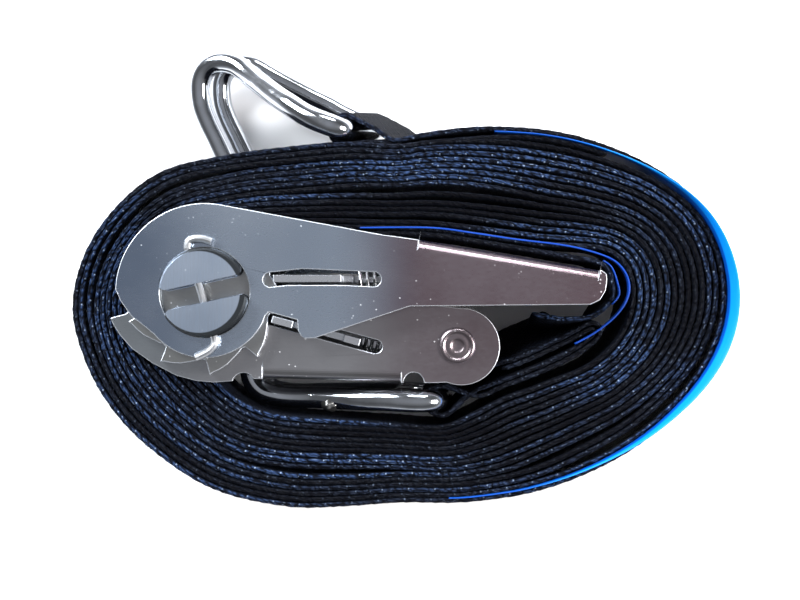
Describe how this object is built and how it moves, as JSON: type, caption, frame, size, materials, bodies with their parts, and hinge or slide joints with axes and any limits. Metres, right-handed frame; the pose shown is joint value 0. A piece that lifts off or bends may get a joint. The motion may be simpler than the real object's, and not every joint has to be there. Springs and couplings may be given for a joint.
{
  "type": "ratchet tie down",
  "caption": "Steel ratchet tie down in its closed position, with its webbing wound in an oval roll around it and a double-wire claw hook on each strap end.",
  "frame": {"origin": "middle of the webbing slot in the spindle, on the spindle's axis and midway between the two side plates", "axes": "+Z along the spindle towards the front half-moon ends, up when the part lies on its side as pictured; +X along the closed handle towards its grip; +Y across the roll towards the long strap's hook"},
  "size_m": [0.1659, 0.1195, 0.046],
  "materials": {
    "plate_steel": "satin pressed sheet",
    "spindle_steel": "brushed end grain",
    "bright_steel": "bright wire",
    "hook_chrome": "mirror polished",
    "webbing": "flat woven polyester",
    "label": "coated label strip"
  },
  "bodies": {
    "frame": {"base_frame": "plate_steel", "frame_pin": "plate_steel", "lock_spring": "bright_steel", "long_strap": "webbing", "end_loop": "webbing", "inner_end": "webbing", "long_label": "label", "inner_label": "label", "short_strap": "webbing"},
    "spindle": {"spindle_upper": "spindle_steel", "spindle_lower": "spindle_steel", "ratchet_wheel_front": "plate_steel", "ratchet_wheel_rear": "plate_steel", "cotter_pin_front": "bright_steel", "cotter_pin_rear": "bright_steel"},
    "handle": {"handle": "plate_steel", "draw_spring": "bright_steel"},
    "draw_bar": {"draw_bar": "plate_steel"},
    "lock_bar": {"lock_bar": "plate_steel"},
    "long_hook": {"long_hook": "hook_chrome"},
    "short_hook": {"short_hook": "hook_chrome"}
  },
  "joints": [
    {"name": "handle_swing", "type": "hinge", "parent": "frame", "child": "handle", "pos_m": [0, 0, 0], "axis": [0, 0, 1], "range_deg": [0, 180], "deforming": ["long_strap", "end_loop", "inner_end", "long_label", "inner_label", "long_hook"]},
    {"name": "spindle_spin", "type": "hinge", "parent": "frame", "child": "spindle", "pos_m": [0, 0, 0], "axis": [0, 0, 1], "continuous": true},
    {"name": "draw_pull", "type": "slide", "parent": "handle", "child": "draw_bar", "axis": [1, 0, 0], "range_m": [0, 0.006], "stiffness_N_per_m": 900, "springref_m": -0.004, "deforming": ["draw_spring"]},
    {"name": "lock_slide", "type": "slide", "parent": "frame", "child": "lock_bar", "axis": [0.9646, -0.2639, 0], "range_m": [0, 0.0054], "deforming": ["lock_spring"]},
    {"name": "long_hook_swing", "type": "hinge", "parent": "frame", "child": "long_hook", "pos_m": [0.0373, 0.0426, 0], "axis": [0.3387, 0.1392, -0.9305], "range_deg": [0, 100]},
    {"name": "short_hook_swing", "type": "hinge", "parent": "frame", "child": "short_hook", "pos_m": [0.058, -0.0271, 0], "axis": [-0.0872, 0, 0.9962], "range_deg": [-0.5, 0.5]}
  ],
  "couplings": [
    {"joint": "lock_slide", "follows": "handle_swing", "m_per_rad": 0.001718}
  ]
}
